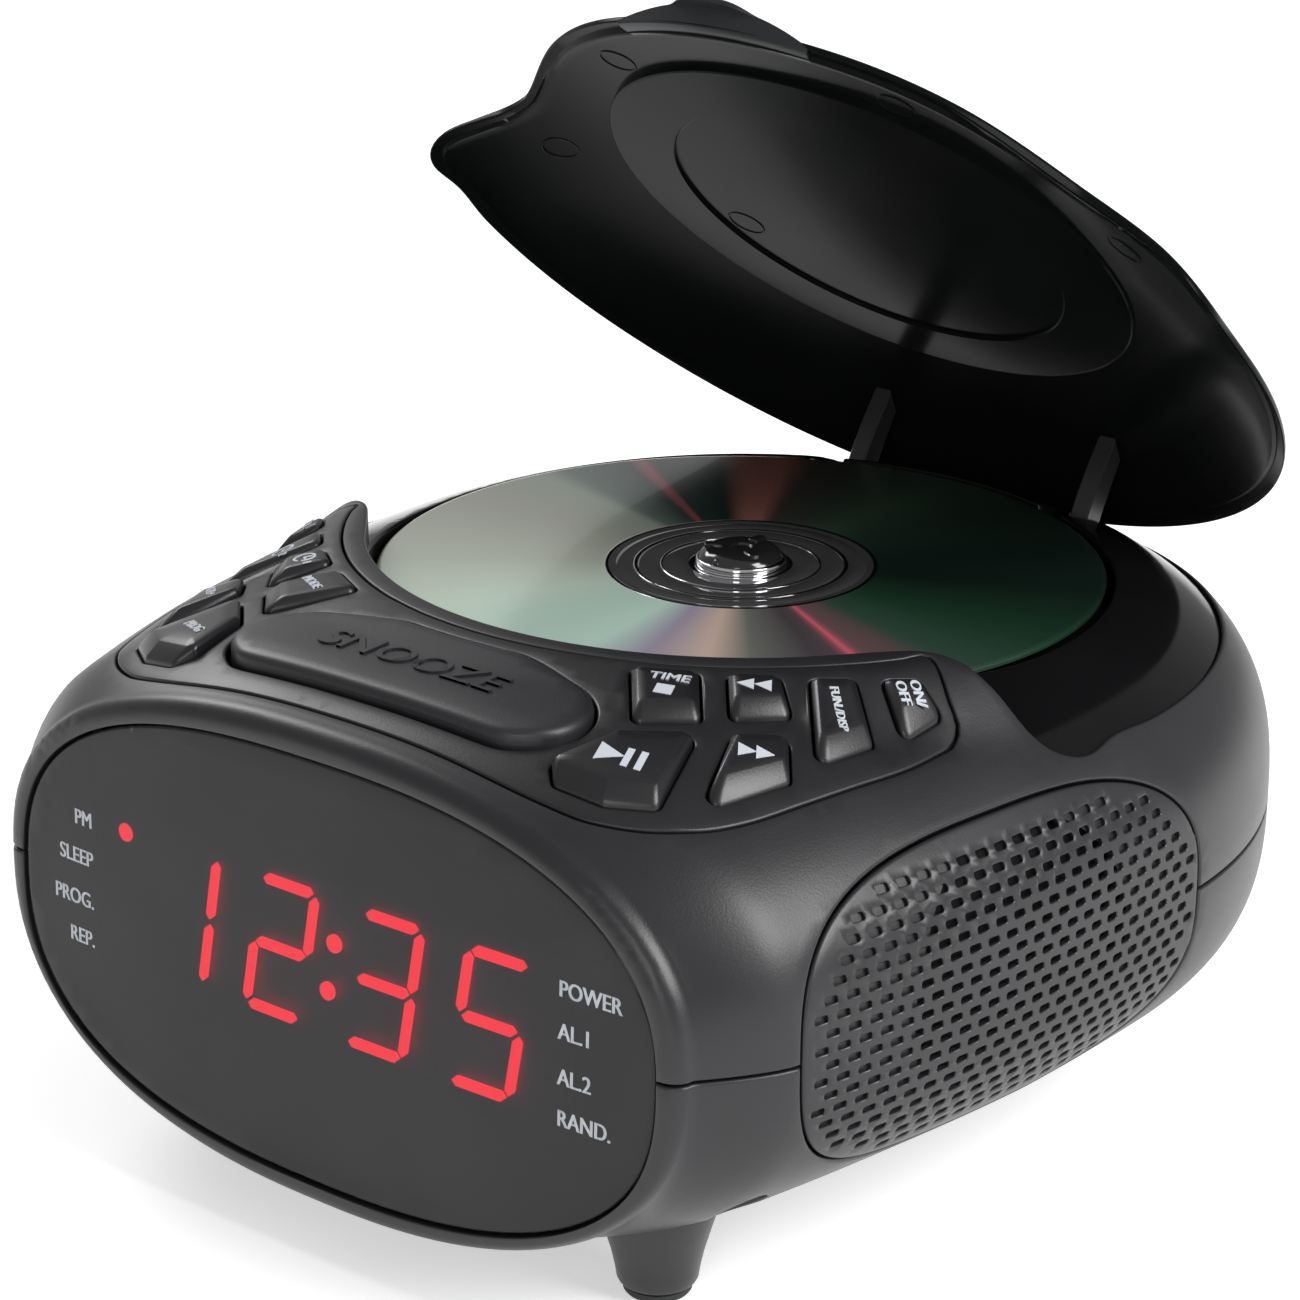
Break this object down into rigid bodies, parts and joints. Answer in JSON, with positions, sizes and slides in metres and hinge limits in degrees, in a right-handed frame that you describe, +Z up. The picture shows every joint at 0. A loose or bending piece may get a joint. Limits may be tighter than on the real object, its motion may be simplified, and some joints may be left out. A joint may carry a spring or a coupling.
{
  "type": "cd clock radio",
  "caption": "Table clock radio with a top-loading disc player: egg-shaped case, oval clock window, side speaker grilles, curved key panel and a hinged lid standing open.",
  "frame": {"origin": "on the floor, under the centre of the box round the whole object at rest with its lid open", "axes": "+X to the right of someone facing the clock, +Y to the back, +Z up"},
  "size_m": [0.1766, 0.1925, 0.1779],
  "materials": {
    "satin_black": "fine satin texture",
    "gloss_black": "polished",
    "key_black": "satin, white printed icons",
    "smoke": "smoked clear plastic",
    "led_block": "dark red with lit segments",
    "board_green": "solder mask",
    "steel": "plated",
    "aluminium": "mirror-like polycarbonate disc",
    "rubber": "matt",
    "cone_paper": "paper cone in a pressed frame",
    "nylon_white": "natural nylon",
    "battery_wrap": "printed wrap, no lettering"
  },
  "bodies": {
    "case": {"upper_case": "satin_black", "lower_case": "satin_black", "button_panel": "satin_black", "battery_door": "satin_black", "speaker_grille_left": "satin_black", "speaker_grille_right": "satin_black", "hinge_bracket_left": "gloss_black", "hinge_bracket_right": "gloss_black", "display_lens": "smoke", "led_digit_block": "led_block", "display_board": "board_green", "button_board": "board_green", "main_board": "board_green", "hinge_pin_left": "steel", "hinge_pin_right": "steel", "cd_chassis": "steel", "spindle_motor": "steel", "feed_motor": "steel", "feed_axle": "steel", "guide_rail_main": "steel", "guide_rail_side": "steel", "transformer": "steel", "case_screw_1": "steel", "case_screw_2": "steel", "case_screw_3": "steel", "case_screw_4": "steel", "cord_gland": "rubber", "foot_pad_1": "rubber", "foot_pad_2": "rubber", "foot_pad_3": "rubber", "foot_pad_4": "rubber", "speaker_left": "cone_paper", "speaker_right": "cone_paper", "backup_battery": "battery_wrap"},
    "lid": {"lid": "gloss_black", "hinge_arm_left": "gloss_black", "hinge_arm_right": "gloss_black"},
    "turntable": {"turntable": "gloss_black", "compact_disc": "aluminium"},
    "pickup": {"laser_pickup": "gloss_black"},
    "feed_gear": {"feed_gear": "nylon_white"},
    "feed_pinion": {"feed_motor_pinion": "nylon_white"},
    "snooze": {"snooze_bar": "key_black"},
    "key_stop": {"button_stop": "key_black"},
    "key_skip_back": {"button_skip_back": "key_black"},
    "key_function": {"button_function": "key_black"},
    "key_power": {"button_power": "key_black"},
    "key_play": {"button_play": "key_black"},
    "key_skip_forward": {"button_skip_forward": "key_black"},
    "key_mode": {"button_mode": "key_black"},
    "key_alarm_1": {"button_alarm_1": "key_black"},
    "key_alarm_2": {"button_alarm_2": "key_black"},
    "key_volume_down": {"button_volume_down": "key_black"},
    "key_program": {"button_program": "key_black"},
    "key_volume_up": {"button_volume_up": "key_black"}
  },
  "joints": [
    {"name": "lid_hinge", "type": "hinge", "parent": "case", "child": "lid", "pos_m": [0, 0.08658, 0.065], "axis": [1, 0, 0], "range_deg": [0, 41.8]},
    {"name": "spindle", "type": "hinge", "parent": "case", "child": "turntable", "pos_m": [0, 0.00918, 0.083], "axis": [0, 0, 1], "continuous": true},
    {"name": "pickup_slide", "type": "slide", "parent": "case", "child": "pickup", "axis": [0, 1, 0], "range_m": [0, 0.0315]},
    {"name": "feed_gear_spin", "type": "hinge", "parent": "case", "child": "feed_gear", "pos_m": [0.024, 0.03118, 0.0641], "axis": [0, 0, 1], "range_deg": [-289, 0]},
    {"name": "feed_pinion_spin", "type": "hinge", "parent": "case", "child": "feed_pinion", "pos_m": [0.03786, 0.02318, 0.0636], "axis": [0, 0, 1], "range_deg": [0, 867]},
    {"name": "snooze_press", "type": "slide", "parent": "case", "child": "snooze", "axis": [0, 0, -1], "range_m": [0, 0.0012], "stiffness_N_per_m": 900, "springref_m": -0.0008},
    {"name": "stop_press", "type": "slide", "parent": "case", "child": "key_stop", "axis": [0, 0, -1], "range_m": [0, 0.0012], "stiffness_N_per_m": 600, "springref_m": -0.0006},
    {"name": "skip_back_press", "type": "slide", "parent": "case", "child": "key_skip_back", "axis": [0, 0, -1], "range_m": [0, 0.0012], "stiffness_N_per_m": 600, "springref_m": -0.0006},
    {"name": "function_press", "type": "slide", "parent": "case", "child": "key_function", "axis": [0, 0, -1], "range_m": [0, 0.0012], "stiffness_N_per_m": 600, "springref_m": -0.0006},
    {"name": "power_press", "type": "slide", "parent": "case", "child": "key_power", "axis": [0, 0, -1], "range_m": [0, 0.0012], "stiffness_N_per_m": 600, "springref_m": -0.0006},
    {"name": "play_press", "type": "slide", "parent": "case", "child": "key_play", "axis": [0, 0, -1], "range_m": [0, 0.0012], "stiffness_N_per_m": 600, "springref_m": -0.0006},
    {"name": "skip_forward_press", "type": "slide", "parent": "case", "child": "key_skip_forward", "axis": [0, 0, -1], "range_m": [0, 0.0012], "stiffness_N_per_m": 600, "springref_m": -0.0006},
    {"name": "mode_press", "type": "slide", "parent": "case", "child": "key_mode", "axis": [0, 0, -1], "range_m": [0, 0.0012], "stiffness_N_per_m": 600, "springref_m": -0.0006},
    {"name": "alarm_1_press", "type": "slide", "parent": "case", "child": "key_alarm_1", "axis": [0, 0, -1], "range_m": [0, 0.0012], "stiffness_N_per_m": 600, "springref_m": -0.0006},
    {"name": "alarm_2_press", "type": "slide", "parent": "case", "child": "key_alarm_2", "axis": [0, 0, -1], "range_m": [0, 0.0012], "stiffness_N_per_m": 600, "springref_m": -0.0006},
    {"name": "volume_down_press", "type": "slide", "parent": "case", "child": "key_volume_down", "axis": [0, 0, -1], "range_m": [0, 0.0012], "stiffness_N_per_m": 600, "springref_m": -0.0006},
    {"name": "program_press", "type": "slide", "parent": "case", "child": "key_program", "axis": [0, 0, -1], "range_m": [0, 0.0012], "stiffness_N_per_m": 600, "springref_m": -0.0006},
    {"name": "volume_up_press", "type": "slide", "parent": "case", "child": "key_volume_up", "axis": [0, 0, -1], "range_m": [0, 0.0012], "stiffness_N_per_m": 600, "springref_m": -0.0006}
  ],
  "couplings": [
    {"joint": "feed_gear_spin", "follows": "pickup_slide", "rad_per_m": -160},
    {"joint": "feed_pinion_spin", "follows": "pickup_slide", "rad_per_m": 480}
  ]
}
